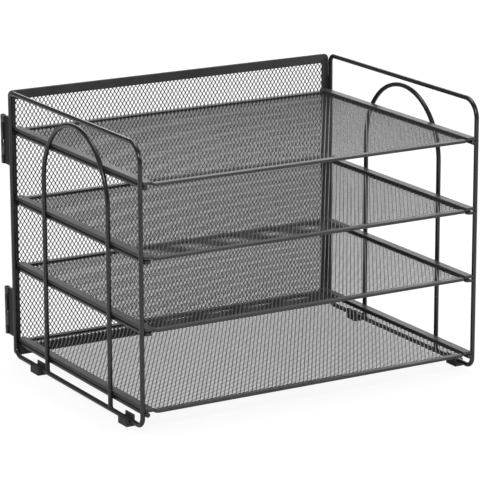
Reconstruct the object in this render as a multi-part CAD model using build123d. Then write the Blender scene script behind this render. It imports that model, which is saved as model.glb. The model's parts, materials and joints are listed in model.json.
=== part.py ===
"""Four-tier desk letter tray: a mesh back panel, two hinged wire side frames and four mesh trays.

Millimetres. +Z is up, the open front faces -Y and the back panel stands at +Y. The origin is at
the middle of the footprint, on the desk.
"""

from build123d import *

import os

# ---- Driving dimensions ----------------------------------------------------------------------
SIDES = {"left": -1, "right": 1}

WIRE_R = 2.0  # all frame wires are 4 mm
FRAME_X = 160.0  # mid-plane of a side frame
LOOP_FRONT_Y, LOOP_BACK_Y = -121.0, 109.5
LOOP_BOTTOM_Z, LOOP_TOP_Z = 5.0, 237.0
LOOP_CORNER_R = (8.0, 9.0, 6.0, 16.0)  # bottom front, bottom back, top back, top front

ARCH_Y, ARCH_R, ARCH_SPRING_Z = -8.3, 57.3, 173.0
ARCH_FOOT_Z = LOOP_BOTTOM_Z + 0.9  # the legs stand saddled on the bottom wire

CROSSBAR_X = 156.2  # pressed 0.2 mm into the posts it is welded to
CROSSBAR_FRONT_Y, CROSSBAR_BACK_Y = -123.5, 111.0
TIER_Z = {1: 202.1, 2: 141.5, 3: 82.4, 4: 15.0}  # crossbar centres, tier 1 on top
TONGUE_TIERS = (2, 3)  # these crossbars end in a flattened tongue
TONGUE_IN_X, TONGUE_LENGTH, TONGUE_THICK = 151.4, 7.0, 2.4

STRIP_THICK, STRIP_WIDTH = 2.4, 8.0  # steel strip folded over the mesh edge
MESH_THICK = 0.6
MESH_INSET = 0.8  # from the strip's outer edge to the mesh inside it

TRAY_FRONT_Y, TRAY_BACK_Y = -124.5, 111.3
RAIL_OUT_X = 157.7
RAIL_FRONT_SETBACK = 1.5
RAIL_ABOVE_BAR = 2.3  # underside of the flange above the crossbar's centre
RAIL_EDGE_R = 0.6
FLOOR_UNDER_RAIL = 2.3  # how far the mesh runs in under the flange it is welded to
RIM_WIDTH, RIM_ABOVE_BAR = 6.0, 0.8
RIM_CORNER_R, RIM_EDGE_R = 4.0, 0.7

PANEL_HALF_W, PANEL_FRONT_Y = 160.0, 112.8
PANEL_BOTTOM_Z, PANEL_TOP_Z = 3.0, 238.0
STILE_WIDTH = 6.2
PANEL_CORNER_R, PANEL_EDGE_R = 4.5, 0.7

HINGE_X, HINGE_Y = 161.2, 122.2
HINGE_Z = {"upper": 195.0, "lower": 42.8}
HINGE_LENGTH = 42.4
KNUCKLE_ENDS = (0.0, 0.17, 0.5, 0.84, 1.0)  # panel, frame, panel, frame, from the bottom up
KNUCKLE_R, PIN_R = 2.3, 1.2
PIN_CLEARANCE, KNUCKLE_GAP = 0.05, 0.3
PIN_HEAD = 0.5
LEAF_THICK = 0.8
PANEL_LEAF_X, FRAME_LEAF_X = 160.4, 161.5  # mid-planes of the two leaves
FRAME_LEAF_FRONT_Y = LOOP_BACK_Y + 0.3  # ends inside the post it is welded to

FOOT_Y = {"front": -94.0, "back": 66.0}
FOOT_LENGTH = 14.0
FOOT_IN_X, FOOT_OUT_X = 156.5, 165.0
FOOT_TOP_Z = 6.6
FOOT_LIP_TOP_Z, FOOT_LIP_OUT_X = 9.5, 157.8
FOOT_EDGE_R = 1.2


# ---- Helpers ---------------------------------------------------------------------------------
def block(x, y, z):
    """A box between two limits on each axis."""
    size = [high - low for low, high in (x, y, z)]
    middle = [(high + low) / 2 for low, high in (x, y, z)]
    return Pos(*middle) * Box(*size)


def upright_cylinder(x, y, radius, z):
    """A vertical cylinder between two heights."""
    return Pos(x, y, (z[0] + z[1]) / 2) * Cylinder(radius, z[1] - z[0])


def on_side(side, solid):
    """The right-hand solid, or its mirror image for the left."""
    return solid if SIDES[side] > 0 else mirror(solid, about=Plane.YZ)


def wire_along(path):
    """Round wire swept along a path."""
    return sweep(Plane(origin=path @ 0, z_dir=path % 0) * Circle(WIRE_R), path=path)


def save(name, solid):
    """One STEP file per node."""
    solid.label = name
    export_step(solid, os.path.join("parts", name + ".step"))


# ---- Side frames (drawn for the right-hand side) ---------------------------------------------
def outer_loop():
    """The closed loop with its four rounded corners."""
    corners = [
        (FRAME_X, LOOP_FRONT_Y, LOOP_BOTTOM_Z),
        (FRAME_X, LOOP_BACK_Y, LOOP_BOTTOM_Z),
        (FRAME_X, LOOP_BACK_Y, LOOP_TOP_Z),
        (FRAME_X, LOOP_FRONT_Y, LOOP_TOP_Z),
    ]
    return wire_along(FilletPolyline(*corners, radius=LOOP_CORNER_R, close=True))


def inner_arch():
    """The arch with straight legs, saddled on the bottom wire."""
    front_y, back_y = ARCH_Y - ARCH_R, ARCH_Y + ARCH_R
    foot = (FRAME_X, front_y, ARCH_FOOT_Z)
    springs = [(FRAME_X, front_y, ARCH_SPRING_Z), (FRAME_X, back_y, ARCH_SPRING_Z)]
    crown = (FRAME_X, ARCH_Y, ARCH_SPRING_Z + ARCH_R)
    path = Wire(
        [
            Line(foot, springs[0]).edge(),
            ThreePointArc(springs[0], crown, springs[1]).edge(),
            Line(springs[1], (FRAME_X, back_y, ARCH_FOOT_Z)).edge(),
        ]
    )
    return wire_along(path)


def crossbar(tier):
    """A round bar along the frame, with a flattened front tongue on the middle tiers."""
    z = TIER_Z[tier]
    length = CROSSBAR_BACK_Y - CROSSBAR_FRONT_Y
    middle = (CROSSBAR_BACK_Y + CROSSBAR_FRONT_Y) / 2
    bar = Pos(CROSSBAR_X, middle, z) * Rot(90, 0, 0) * Cylinder(WIRE_R, length)
    if tier not in TONGUE_TIERS:
        return chamfer(bar.edges().filter_by(GeomType.CIRCLE), 0.5)
    y = (CROSSBAR_FRONT_Y, CROSSBAR_FRONT_Y + TONGUE_LENGTH)
    half = TONGUE_THICK / 2
    tongue = block((TONGUE_IN_X, CROSSBAR_X + WIRE_R - 0.2), y, (z - half, z + half))
    inner = tongue.faces().sort_by(Axis.X)[0].edges().filter_by(Axis.Z)
    flat = block((TONGUE_IN_X, CROSSBAR_X + 2 * WIRE_R), (y[0] - 1, y[1] - 2), (z - 5, z + 5))
    return (bar - flat) + fillet(inner, 2.4)


def foot_clip(place):
    """A rubber foot clipped round the bottom wire, with a lip on its inboard side."""
    y = (FOOT_Y[place] - FOOT_LENGTH / 2, FOOT_Y[place] + FOOT_LENGTH / 2)
    body = block((FOOT_IN_X, FOOT_OUT_X), y, (0, FOOT_TOP_Z))
    lip = block((FOOT_IN_X, FOOT_LIP_OUT_X), y, (FOOT_TOP_Z - 1, FOOT_LIP_TOP_Z))
    body = fillet(body.faces().sort_by(Axis.X)[-1].edges(), FOOT_EDGE_R)
    return body + lip


# ---- Hinges (drawn for the right-hand side) --------------------------------------------------
def knuckle_spans(middle, owner):
    """The heights that the panel's or the frame's knuckles fill, with a gap at each seam."""
    low = middle - HINGE_LENGTH / 2
    first = 0 if owner == "panel" else 1
    spans = []
    for i in range(first, len(KNUCKLE_ENDS) - 1, 2):
        start = low + KNUCKLE_ENDS[i] * HINGE_LENGTH
        end = low + KNUCKLE_ENDS[i + 1] * HINGE_LENGTH
        start += KNUCKLE_GAP / 2 if i > 0 else 0
        end -= KNUCKLE_GAP / 2 if i < len(KNUCKLE_ENDS) - 2 else 0
        spans.append((start, end))
    return spans


def hinge_leaf(middle, owner):
    """A leaf with its knuckles, notched where the other leaf's knuckles turn."""
    if owner == "panel":
        x, front_y, other, bore = PANEL_LEAF_X, PANEL_FRONT_Y, "frame", PIN_R
    else:
        x, front_y, other, bore = FRAME_LEAF_X, FRAME_LEAF_FRONT_Y, "panel", PIN_R + PIN_CLEARANCE
    z = (middle - HINGE_LENGTH / 2, middle + HINGE_LENGTH / 2)
    leaf = block((x - LEAF_THICK / 2, x + LEAF_THICK / 2), (front_y, HINGE_Y), z)
    for low, high in knuckle_spans(middle, other):
        notch = (low - KNUCKLE_GAP, high + KNUCKLE_GAP)
        leaf -= upright_cylinder(HINGE_X, HINGE_Y, KNUCKLE_R + KNUCKLE_GAP, notch)
    for span in knuckle_spans(middle, owner):
        leaf += upright_cylinder(HINGE_X, HINGE_Y, KNUCKLE_R, span)
    return leaf - upright_cylinder(HINGE_X, HINGE_Y, bore, (z[0] - 1, z[1] + 1))


def hinge_pin(middle):
    """The pin, with its ends just proud of the barrel."""
    half = HINGE_LENGTH / 2 + PIN_HEAD
    pin = upright_cylinder(HINGE_X, HINGE_Y, PIN_R, (middle - half, middle + half))
    return chamfer(pin.edges().filter_by(GeomType.CIRCLE), 0.3)


# ---- Back panel ------------------------------------------------------------------------------
def panel_outline(inset=0.0, corner_r=PANEL_CORNER_R):
    """The panel's rounded rectangle in the XZ plane, as a solid of the strip's thickness."""
    height = PANEL_TOP_Z - PANEL_BOTTOM_Z
    centre_z = (PANEL_TOP_Z + PANEL_BOTTOM_Z) / 2
    plane = Plane(origin=(0, PANEL_FRONT_Y, centre_z), x_dir=(1, 0, 0), z_dir=(0, 1, 0))
    face = RectangleRounded(2 * (PANEL_HALF_W - inset), height - 2 * inset, corner_r)
    return plane * face


def panel_mesh():
    """The mesh sheet, held at the middle of the strip's thickness."""
    sheet = extrude(panel_outline(MESH_INSET, PANEL_CORNER_R - MESH_INSET), MESH_THICK)
    return Pos(0, (STRIP_THICK - MESH_THICK) / 2, 0) * sheet


def panel_rims(mesh):
    """The folded strip round the mesh, in four lengths mitred at the corners."""
    inner_x = PANEL_HALF_W - STILE_WIDTH
    inner_low, inner_high = PANEL_BOTTOM_Z + STRIP_WIDTH, PANEL_TOP_Z - STRIP_WIDTH
    y = (PANEL_FRONT_Y - 1, PANEL_FRONT_Y + STRIP_THICK + 1)
    window = block((-inner_x, inner_x), y, (inner_low, inner_high))
    plate = extrude(panel_outline(), STRIP_THICK)
    faces = plate.faces().sort_by(Axis.Y)
    whole = fillet(faces[0].edges() + faces[-1].edges(), PANEL_EDGE_R) - window - mesh
    outer = [(-1, PANEL_BOTTOM_Z), (1, PANEL_BOTTOM_Z), (1, PANEL_TOP_Z), (-1, PANEL_TOP_Z)]
    inner = [(-1, inner_low), (1, inner_low), (1, inner_high), (-1, inner_high)]
    rims = {}
    for i, name in enumerate(("bottom", "right", "top", "left")):
        j = (i + 1) % 4
        ends = [
            (outer[i][0] * PANEL_HALF_W, outer[i][1]),
            (outer[j][0] * PANEL_HALF_W, outer[j][1]),
            (inner[j][0] * inner_x, inner[j][1]),
            (inner[i][0] * inner_x, inner[i][1]),
        ]
        plane = Plane(origin=(0, y[0], 0), x_dir=(1, 0, 0), z_dir=(0, -1, 0))
        mitre = extrude(plane * make_face(Polyline(*ends, close=True)), -(y[1] - y[0]))
        rims[name] = whole & mitre
    return rims


# ---- Trays -----------------------------------------------------------------------------------
def tray_floor(tier):
    """The flat mesh, held in the front and rear strips and welded under both rails."""
    low = TIER_Z[tier] + RIM_ABOVE_BAR + (STRIP_THICK - MESH_THICK) / 2
    rim_half_x = RAIL_OUT_X - STRIP_WIDTH
    half_x = rim_half_x + FLOOR_UNDER_RAIL
    y = (TRAY_FRONT_Y + MESH_INSET, TRAY_BACK_Y - MESH_INSET)
    z = (low, low + MESH_THICK)
    middle = block((-rim_half_x, rim_half_x), y, z)
    corners = middle.edges().filter_by(Axis.Z).group_by(Axis.Y)[0]
    margins = block((-half_x, half_x), (y[0] + RIM_WIDTH, y[1]), z)
    return fillet(corners, RIM_CORNER_R) + margins


def tray_rail(tier):
    """The right-hand rail: a flat folded strip that lies on the crossbar."""
    low = TIER_Z[tier] + RAIL_ABOVE_BAR
    y = (TRAY_FRONT_Y + RAIL_FRONT_SETBACK, TRAY_BACK_Y)
    rail = block((RAIL_OUT_X - STRIP_WIDTH, RAIL_OUT_X), y, (low, low + STRIP_THICK))
    top_edges = rail.faces().sort_by(Axis.Z)[-1].edges().filter_by(Axis.Y)
    return fillet(top_edges, RAIL_EDGE_R)


def tray_rim(tier, place, floor):
    """The strip along the front or rear edge of the floor, between the two rails."""
    half_x = RAIL_OUT_X - STRIP_WIDTH
    front = place == "front"
    edge_y = TRAY_FRONT_Y if front else TRAY_BACK_Y - RIM_WIDTH
    low = TIER_Z[tier] + RIM_ABOVE_BAR
    rim = block((-half_x, half_x), (edge_y, edge_y + RIM_WIDTH), (low, low + STRIP_THICK))
    outer = rim.faces().sort_by(Axis.Y)[0 if front else -1]
    if front:
        rim = fillet(outer.edges().filter_by(Axis.Z), RIM_CORNER_R)
        outer = rim.faces().sort_by(Axis.Y)[0]
    return fillet(outer.edges().filter_by(Axis.X), RIM_EDGE_R) - floor


# ---- Everything, one file per node -----------------------------------------------------------
def save_side_frame(side, loop, arch):
    """Loop, arch, crossbars and feet of one side."""
    save(f"{side}_loop_wire", on_side(side, loop))
    save(f"{side}_arch_wire", on_side(side, arch - loop))
    for tier in TIER_Z:
        save(f"{side}_crossbar_{tier}", on_side(side, crossbar(tier) - loop - arch))
    for place in FOOT_Y:
        save(f"{side}_{place}_foot", on_side(side, foot_clip(place) - loop))


def save_hinges(side, loop):
    """Both hinges of one side."""
    for place, middle in HINGE_Z.items():
        name = f"{side}_{place}_hinge"
        save(f"{name}_panel_leaf", on_side(side, hinge_leaf(middle, "panel")))
        save(f"{name}_frame_leaf", on_side(side, hinge_leaf(middle, "frame") - loop))
        save(f"{name}_pin", on_side(side, hinge_pin(middle)))


def save_tray(tier):
    """Mesh, rails and rims of one tray."""
    floor = tray_floor(tier)
    save(f"tray_{tier}_mesh_floor", floor)
    for side in SIDES:
        save(f"tray_{tier}_{side}_rail", on_side(side, tray_rail(tier)))
    for place in ("front", "rear"):
        save(f"tray_{tier}_{place}_rim", tray_rim(tier, place, floor))


def main():
    os.makedirs("parts", exist_ok=True)
    loop, arch = outer_loop(), inner_arch()
    for side in SIDES:
        save_side_frame(side, loop, arch)
        save_hinges(side, loop)
    for tier in TIER_Z:
        save_tray(tier)
    mesh = panel_mesh()
    save("back_panel_mesh", mesh)
    for name, rim in panel_rims(mesh).items():
        save(f"back_panel_{name}_rim", rim)


main()
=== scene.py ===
import json
from math import cos, radians, sin

import bmesh
import bpy
from mathutils import Matrix, Vector, noise


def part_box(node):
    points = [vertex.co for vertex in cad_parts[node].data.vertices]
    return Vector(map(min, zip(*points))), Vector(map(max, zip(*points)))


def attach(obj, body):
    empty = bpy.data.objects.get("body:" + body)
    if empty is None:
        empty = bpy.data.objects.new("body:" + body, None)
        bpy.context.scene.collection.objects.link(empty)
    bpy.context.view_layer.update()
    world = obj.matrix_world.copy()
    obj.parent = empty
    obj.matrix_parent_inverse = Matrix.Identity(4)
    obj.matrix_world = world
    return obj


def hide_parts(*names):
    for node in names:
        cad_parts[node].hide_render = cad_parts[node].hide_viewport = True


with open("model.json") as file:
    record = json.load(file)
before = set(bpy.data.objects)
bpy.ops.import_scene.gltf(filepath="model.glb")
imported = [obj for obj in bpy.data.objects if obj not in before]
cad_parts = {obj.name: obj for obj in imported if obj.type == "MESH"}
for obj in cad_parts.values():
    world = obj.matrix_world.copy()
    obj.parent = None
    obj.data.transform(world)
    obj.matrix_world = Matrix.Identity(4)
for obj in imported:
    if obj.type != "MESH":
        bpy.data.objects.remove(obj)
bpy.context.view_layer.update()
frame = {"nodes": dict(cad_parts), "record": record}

MM = 0.001
TIERS = range(1, 5)  # the trays, from the top down
SIDES = (("left", -1), ("right", 1))  # with the way out from the middle along X

# ---- Camera ----------------------------------------------------------------------------------
CAMERA_AZIMUTH, CAMERA_ELEVATION, CAMERA_ROLL = radians(-30.25), radians(14.82), radians(-0.15)
CAMERA_DISTANCE = 2.443
CAMERA_TARGET = Vector((-0.0018, -0.005, 0.1125))
CAMERA_LENS, CAMERA_SENSOR = 215.0, 36.0


def add_camera():
    """A long lens at the height of a person's eye above a desk, left of the front."""
    back = Vector(
        (
            sin(CAMERA_AZIMUTH) * cos(CAMERA_ELEVATION),
            -cos(CAMERA_AZIMUTH) * cos(CAMERA_ELEVATION),
            sin(CAMERA_ELEVATION),
        )
    )
    data = bpy.data.cameras.new("camera")
    data.lens, data.sensor_width = CAMERA_LENS, CAMERA_SENSOR
    camera = bpy.data.objects.new("camera", data)
    turn = back.to_track_quat("Z", "Y").to_matrix().to_4x4()
    roll = Matrix.Rotation(CAMERA_ROLL, 4, "Z")
    camera.matrix_world = Matrix.Translation(CAMERA_TARGET + back * CAMERA_DISTANCE) @ turn @ roll
    bpy.context.scene.collection.objects.link(camera)
    bpy.context.scene.camera = camera


# ---- Light and floor -------------------------------------------------------------------------
SURROUNDINGS_STRENGTH = 0.25
LIGHT_TARGET = Vector((0, 0, 0.12))  # about the middle of the tray
LIGHTS = {  # place, width of the square softbox, power in watts
    "key": ((-1.6, -1.7, 1.5), 0.6, 26),
    "fill": ((1.6, -1.7, 1.3), 0.6, 16),
    "top": ((0.2, 0.2, 2.2), 1.3, 34),
    "backdrop": ((1.3, 2.2, 1.0), 1.4, 16),
}
FLOOR_WIDTH = 14
# The floor lights the tray like pale paper, but the camera sees it as plain white.
FLOOR_BASE_UNSEEN, FLOOR_BASE_SEEN = 0.85, 0.1
FLOOR_GLOW_UNSEEN, FLOOR_GLOW_SEEN = 0.0, 0.9


def add_area_light(name, place, size, power):
    """A square softbox aimed at the tray."""
    data = bpy.data.lights.new(name, "AREA")
    data.size, data.energy = size, power
    light = bpy.data.objects.new(name, data)
    light.location = place
    light.rotation_euler = (Vector(place) - LIGHT_TARGET).to_track_quat("Z", "Y").to_euler()
    bpy.context.scene.collection.objects.link(light)


def add_studio():
    """White surroundings, soft light from above, the front and behind, and a pale floor."""
    bpy.context.scene.view_settings.view_transform = "Standard"
    world = bpy.data.worlds.new("studio")
    bpy.context.scene.world = world
    world.use_nodes = True
    surroundings = world.node_tree.nodes["Background"]
    surroundings.inputs["Color"].default_value = (1.0, 1.0, 1.0, 1.0)
    surroundings.inputs["Strength"].default_value = SURROUNDINGS_STRENGTH
    for name, (place, size, power) in LIGHTS.items():
        add_area_light(name, place, size, power)
    add_floor()


def add_floor():
    """A pale floor at the height the feet stand on."""
    bpy.ops.mesh.primitive_plane_add(size=FLOOR_WIDTH)
    floor = bpy.context.object
    floor.name = "floor"
    material, shader = new_material("floor_white")
    shader.inputs["Roughness"].default_value = 0.9
    shader.inputs["Emission Color"].default_value = (1.0, 1.0, 1.0, 1.0)
    seen = material.node_tree.nodes.new("ShaderNodeLightPath").outputs["Is Camera Ray"]
    tones = (
        ("Base Color", FLOOR_BASE_UNSEEN, FLOOR_BASE_SEEN),
        ("Emission Strength", FLOOR_GLOW_UNSEEN, FLOOR_GLOW_SEEN),
    )
    for socket, unseen_value, seen_value in tones:
        tone = add_node(material, "ShaderNodeMapRange", To_Min=unseen_value, To_Max=seen_value)
        material.node_tree.links.new(seen, tone.inputs["Value"])
        material.node_tree.links.new(tone.outputs["Result"], shader.inputs[socket])
    floor.data.materials.append(material)


# ---- Materials -------------------------------------------------------------------------------
def new_material(name):
    """An empty node material and its shader."""
    material = bpy.data.materials.new(name)
    material.use_nodes = True
    return material, material.node_tree.nodes["Principled BSDF"]


def add_node(material, kind, **inputs):
    """A node with some of its sockets set, given with _ for the spaces in their names."""
    node = material.node_tree.nodes.new(kind)
    for name, value in inputs.items():
        node.inputs[name.replace("_", " ")].default_value = value
    return node


def powder_coat(name, dark, pale, roughness, gloss_level=0.5):
    """Baked powder coat: a fine pebbled skin and a cloudy sheen."""
    material, shader = new_material(name)
    shader.inputs["Specular IOR Level"].default_value = gloss_level
    link = material.node_tree.links.new
    place = add_node(material, "ShaderNodeTexCoord").outputs["Object"]
    pebbles = add_node(material, "ShaderNodeTexNoise", Scale=900.0, Detail=3.0, Roughness=0.6)
    clouds = add_node(material, "ShaderNodeTexNoise", Scale=38.0, Detail=4.0, Roughness=0.55)
    for texture in (pebbles, clouds):
        link(place, texture.inputs["Vector"])

    tone = add_node(material, "ShaderNodeValToRGB")
    tone.color_ramp.elements[0].position, tone.color_ramp.elements[1].position = 0.3, 0.75
    tone.color_ramp.elements[0].color = (*dark, 1)
    tone.color_ramp.elements[1].color = (*pale, 1)
    link(clouds.outputs["Fac"], tone.inputs["Fac"])
    link(tone.outputs["Color"], shader.inputs["Base Color"])

    gloss = add_node(
        material, "ShaderNodeMapRange", To_Min=roughness - 0.07, To_Max=roughness + 0.1
    )
    link(clouds.outputs["Fac"], gloss.inputs["Value"])
    link(gloss.outputs["Result"], shader.inputs["Roughness"])

    bump = add_node(material, "ShaderNodeBump", Strength=0.12, Distance=0.0002)
    link(pebbles.outputs["Fac"], bump.inputs["Height"])
    link(bump.outputs["Normal"], shader.inputs["Normal"])
    return material


def rubber(name):
    """Moulded matt rubber with a faint grain and a dusty bloom."""
    material, shader = new_material(name)
    link = material.node_tree.links.new
    place = add_node(material, "ShaderNodeTexCoord").outputs["Object"]
    grain = add_node(material, "ShaderNodeTexNoise", Scale=1500.0, Detail=4.0, Roughness=0.7)
    bloom = add_node(material, "ShaderNodeTexNoise", Scale=120.0, Detail=3.0)
    for texture in (grain, bloom):
        link(place, texture.inputs["Vector"])
    tone = add_node(material, "ShaderNodeValToRGB")
    tone.color_ramp.elements[0].color = (0.018, 0.018, 0.019, 1)
    tone.color_ramp.elements[1].color = (0.055, 0.055, 0.057, 1)
    link(bloom.outputs["Fac"], tone.inputs["Fac"])
    link(tone.outputs["Color"], shader.inputs["Base Color"])
    shader.inputs["Roughness"].default_value = 0.6
    bump = add_node(material, "ShaderNodeBump", Strength=0.3, Distance=0.0001)
    link(grain.outputs["Fac"], bump.inputs["Height"])
    link(bump.outputs["Normal"], shader.inputs["Normal"])
    return material


MATERIALS = {
    "wire": powder_coat("wire_coat", (0.01, 0.01, 0.011), (0.016, 0.016, 0.017), 0.22),
    "strip": powder_coat(
        "strip_coat", (0.045, 0.045, 0.046), (0.065, 0.065, 0.067), 0.4, gloss_level=0.15
    ),
    "mesh": powder_coat("mesh_coat", (0.008, 0.008, 0.009), (0.014, 0.014, 0.015), 0.38),
    # painted shade: the hinge's coat is darker and duller than the wire coat, so the leaves look
    # shaded
    "hinge": powder_coat(
        "hinge_coat_painted_shade", (0.006, 0.006, 0.007), (0.011, 0.011, 0.012), 0.34, gloss_level=0.08
    ),
    # painted highlight: the barrel's curls take a paler, glossier copy of the hinge coat, so the
    # barrel looks lit
    "barrel_painted_highlight": powder_coat(
        "barrel_coat_painted_highlight", (0.02, 0.02, 0.021), (0.032, 0.032, 0.033), 0.3, gloss_level=0.75
    ),
    "foot_rubber": rubber("foot_rubber"),
}


def dress_cad_nodes():
    """Each CAD node takes the finish of its slot in the record."""
    for part in frame["record"]["subparts"]:
        node = frame["nodes"][part["node"]]
        for slot in node.material_slots:
            slot.material = MATERIALS[part["material_slot"]]


# ---- Expanded metal --------------------------------------------------------------------------
SHORT_WAY, LONG_WAY = 3.79 * MM, 5.97 * MM  # pitches of the diamonds
HOLE_HALF_WIDTH, HOLE_HALF_HEIGHT, HOLE_HALF_FLAT = 0.355, 0.38, 0.08  # in pitches
STRAND_CROWN = 0.1 * MM  # height of the strands' crossings above the edges of the holes
# How far a lattice stops short of its CAD sheet's edge, under the strip.
PANEL_TUCK_X, PANEL_TUCK_Z = 2.5 * MM, 4.5 * MM
TRAY_TUCK_X, TRAY_TUCK_Y = 0.4 * MM, 2.4 * MM


def expanded_metal(name, low, high, across, along, thick_axis, middle, half_thick):
    """A closed sheet of staggered six-sided holes between two corners of a plane.

    across and along are the axes of the short and the long way of the diamonds. Each hole is
    ringed by faces that reach out to the four nodes of the lattice around it, where the strands
    meet at full thickness.
    """
    wide, tall = high[0] - low[0], high[1] - low[1]
    columns, rows = round(wide / SHORT_WAY * 2), round(tall / LONG_WAY * 2)
    step_u, step_v = wide / columns, tall / rows
    points, faces, corner_at, edge_uses = [], [], {}, {}

    def point(u, v, w):
        """The index of a new point at u across, v along and w off the middle plane."""
        spot = [0.0, 0.0, 0.0]
        spot[across], spot[along], spot[thick_axis] = u, v, middle + w
        points.append(spot)
        return len(points) - 1

    def corner(i, j):
        """The upper and lower points of a lattice node, made once and then shared."""
        if (i, j) not in corner_at:
            u, v = low[0] + i * step_u, low[1] + j * step_v
            corner_at[(i, j)] = (point(u, v, half_thick), point(u, v, -half_thick))
        return corner_at[(i, j)]

    skin = half_thick - STRAND_CROWN
    reach_u = 2 * step_u * HOLE_HALF_WIDTH
    reach_v = 2 * step_v * HOLE_HALF_HEIGHT
    flat = 2 * step_v * HOLE_HALF_FLAT
    half_outline = [(0, reach_v), (reach_u, flat), (reach_u, -flat)]
    hole_outline = half_outline + [(-u, -v) for u, v in half_outline]
    for j in range(1, rows):
        for i in range(1 + (j + 1) % 2, columns, 2):
            u, v = low[0] + i * step_u, low[1] + j * step_v
            hole = [
                (point(u + a, v + b, skin), point(u + a, v + b, -skin)) for a, b in hole_outline
            ]
            top, bottom = corner(i, j + 1), corner(i, j - 1)
            right, left = corner(i + 1, j), corner(i - 1, j)
            ring = [
                (top, hole[0], hole[1], right),
                (right, hole[1], hole[2]),
                (right, hole[2], hole[3], bottom),
                (bottom, hole[3], hole[4], left),
                (left, hole[4], hole[5]),
                (left, hole[5], hole[0], top),
            ]
            for side in ring:
                faces.append([p[0] for p in side])
                faces.append([p[1] for p in reversed(side)])
            for k in range(6):
                a, b = hole[k], hole[(k + 1) % 6]
                faces.append([a[0], a[1], b[1], b[0]])
            for a, b in ((top, right), (right, bottom), (bottom, left), (left, top)):
                key = tuple(sorted((a[0], b[0])))
                edge_uses.setdefault(key, []).append((a, b))
    for uses in edge_uses.values():
        if len(uses) == 1:  # an edge with a hole on one side only is on the border
            a, b = uses[0]
            faces.append([a[0], b[0], b[1], a[1]])
    mesh = bpy.data.meshes.new(name)
    mesh.from_pydata(points, [], faces)
    mesh.validate()
    sheet = bpy.data.objects.new(name, mesh)
    bpy.context.scene.collection.objects.link(sheet)
    turn_faces_outwards(sheet)
    return sheet


def turn_faces_outwards(piece):
    """Makes every face look outwards."""
    shape = bmesh.new()
    shape.from_mesh(piece.data)
    bmesh.ops.recalc_face_normals(shape, faces=shape.faces)
    shape.to_mesh(piece.data)
    shape.free()


def finish_piece(piece, body, slot, *replaced, finish=None):
    """Gives a new piece its material and its body, and hides the CAD nodes it stands for."""
    piece.data.materials.append(MATERIALS[finish or slot])
    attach(piece, body)
    if replaced:
        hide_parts(*replaced)


def add_panel_mesh():
    """The back panel's diamonds stand on end."""
    low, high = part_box("back_panel_mesh")
    sheet = expanded_metal(
        "back_panel_lattice",
        (low.x + PANEL_TUCK_X, low.z + PANEL_TUCK_Z),
        (high.x - PANEL_TUCK_X, high.z - PANEL_TUCK_Z),
        across=0,
        along=2,
        thick_axis=1,
        middle=(low.y + high.y) / 2,
        half_thick=(high.y - low.y) / 2,
    )
    finish_piece(sheet, "back_panel", "mesh", "back_panel_mesh")


def add_tray_mesh(tier):
    """A tray floor's diamonds run front to back."""
    node = f"tray_{tier}_mesh_floor"
    low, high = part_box(node)
    sheet = expanded_metal(
        f"tray_{tier}_lattice",
        (low.x + TRAY_TUCK_X, low.y + TRAY_TUCK_Y),
        (high.x - TRAY_TUCK_X, high.y - TRAY_TUCK_Y),
        across=0,
        along=1,
        thick_axis=2,
        middle=(low.z + high.z) / 2,
        half_thick=(high.z - low.z) / 2,
    )
    finish_piece(sheet, f"tray_{tier}", "mesh", node)


# ---- Welds and hinge curls -------------------------------------------------------------------
BEAD_RADII = (0.75 * MM, 1.5 * MM, 1.55 * MM)  # where a crossbar meets a post or a leg
BEAD_INBOARD = 0.95  # wire radii from the frame's middle towards the trays
LEG_BEAD_RADII = (2.1 * MM, 3.1 * MM, 0.95 * MM)  # where a leg stands on the bottom wire
LEG_BEAD_HEIGHT = 1.85  # wire radii above the bottom wire's underside
LUMP_HEIGHT, LUMPS_ACROSS = 0.12, 1.7  # of a bead's radius, in a bead's radius

# Where the knuckles end, as shares of the barrel's height: panel, frame, panel, frame.
KNUCKLE_ENDS = (0.0, 0.17, 0.5, 0.84, 1.0)
CURL_GAP = 0.22 * MM  # left free at each end of a knuckle
CURL_INNER_R, CURL_OUTER_R = 2.1 * MM, 2.42 * MM
CURL_EASE = 0.12 * MM  # chamfer of a curl's rims
CURL_START, CURL_SWEEP = 200, 300  # degrees, where 0 is the rear and 90 is outwards
CURL_STEPS = 40


def shape_to_piece(name, shape):
    """A smooth-shaded object from an edited shape."""
    bmesh.ops.recalc_face_normals(shape, faces=shape.faces)
    mesh = bpy.data.meshes.new(name)
    shape.to_mesh(mesh)
    shape.free()
    for face in mesh.polygons:
        face.use_smooth = True
    piece = bpy.data.objects.new(name, mesh)
    bpy.context.scene.collection.objects.link(piece)
    return piece


def add_bead(shape, place, radii):
    """One lumpy bead of weld metal, with lumps of its own."""
    new = bmesh.ops.create_icosphere(shape, subdivisions=3, radius=1.0)["verts"]
    for vertex in new:
        lump = 1 + LUMP_HEIGHT * noise.noise(vertex.co * LUMPS_ACROSS + Vector(place) * 90)
        vertex.co = Vector(place) + Vector([c * r * lump for c, r in zip(vertex.co, radii)])


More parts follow.
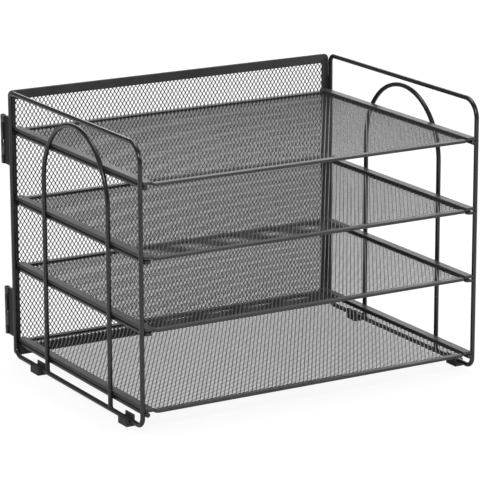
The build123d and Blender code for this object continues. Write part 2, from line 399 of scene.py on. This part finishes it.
def add_welds(side, sign):
    """The beads where a side frame's wires cross."""
    loop_low, loop_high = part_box(f"{side}_loop_wire")
    arch_low, arch_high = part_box(f"{side}_arch_wire")
    wire_r = (loop_high.x - loop_low.x) / 2
    frame_x = (loop_high.x + loop_low.x) / 2
    legs = (arch_low.y + wire_r, arch_high.y - wire_r)
    posts = (loop_low.y + wire_r, loop_high.y - wire_r)
    centre_y, arch_r = sum(legs) / 2, (legs[1] - legs[0]) / 2
    spring_z = arch_high.z - wire_r - arch_r
    shape = bmesh.new()
    for tier in TIERS:
        low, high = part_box(f"{side}_crossbar_{tier}")
        z = (low.z + high.z) / 2
        reach = (arch_r**2 - max(z - spring_z, 0) ** 2) ** 0.5
        x = frame_x - sign * BEAD_INBOARD * wire_r
        for y in (*posts, centre_y - reach, centre_y + reach):
            add_bead(shape, (x, y, z), BEAD_RADII)
    for y in legs:
        add_bead(shape, (frame_x, y, loop_low.z + LEG_BEAD_HEIGHT * wire_r), LEG_BEAD_RADII)
    finish_piece(shape_to_piece(f"{side}_frame_welds", shape), f"{side}_frame", "wire")


def add_curls(side, sign, place):
    """The leaves' ends rolled round the pin, each with a step where the roll closes."""
    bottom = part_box(f"{side}_{place}_hinge_panel_leaf")[0].z
    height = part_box(f"{side}_{place}_hinge_frame_leaf")[1].z - bottom
    pin_low, pin_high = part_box(f"{side}_{place}_hinge_pin")
    centre = (pin_low + pin_high) / 2
    for owner, body, first in (("panel", "back_panel", 0), ("frame", f"{side}_frame", 1)):
        shape = bmesh.new()
        for i in range(first, len(KNUCKLE_ENDS) - 1, 2):
            z0 = bottom + KNUCKLE_ENDS[i] * height + CURL_GAP
            z1 = bottom + KNUCKLE_ENDS[i + 1] * height - CURL_GAP
            add_open_ring(shape, centre, z0, z1, sign, 1 if owner == "panel" else -1)
        curls = shape_to_piece(f"{side}_{place}_{owner}_curls", shape)
        # the curls wear the paler, glossier barrel coat, a painted highlight
        finish_piece(curls, body, "hinge", finish="barrel_painted_highlight")


def add_open_ring(shape, centre, z0, z1, sign, turn):
    """A C-shaped sleeve with eased rims, open beside the leaf it belongs to.

    turn is 1 for a sheet rolled clockwise on the right-hand side, seen from above, and -1 for
    the other way. The left-hand side is its mirror image.
    """
    profile = (
        (CURL_INNER_R, z0),
        (CURL_OUTER_R - CURL_EASE, z0),
        (CURL_OUTER_R, z0 + CURL_EASE),
        (CURL_OUTER_R, z1 - CURL_EASE),
        (CURL_OUTER_R - CURL_EASE, z1),
        (CURL_INNER_R, z1),
    )
    rings = []
    for k in range(CURL_STEPS + 1):
        angle = radians(CURL_START + turn * CURL_SWEEP * k / CURL_STEPS)
        rings.append(
            [
                shape.verts.new((centre.x + sign * r * sin(angle), centre.y + r * cos(angle), z))
                for r, z in profile
            ]
        )
    count = len(profile)
    for near, far in zip(rings, rings[1:]):
        for k in range(count):
            shape.faces.new((near[k], near[(k + 1) % count], far[(k + 1) % count], far[k]))
    shape.faces.new(rings[0])
    shape.faces.new(rings[-1])


# ---- Scene -----------------------------------------------------------------------------------
add_camera()
add_studio()
dress_cad_nodes()
add_panel_mesh()
for tier in TIERS:
    add_tray_mesh(tier)
for side, sign in SIDES:
    add_welds(side, sign)
    for place in ("upper", "lower"):
        add_curls(side, sign, place)

bpy.context.view_layer.update()
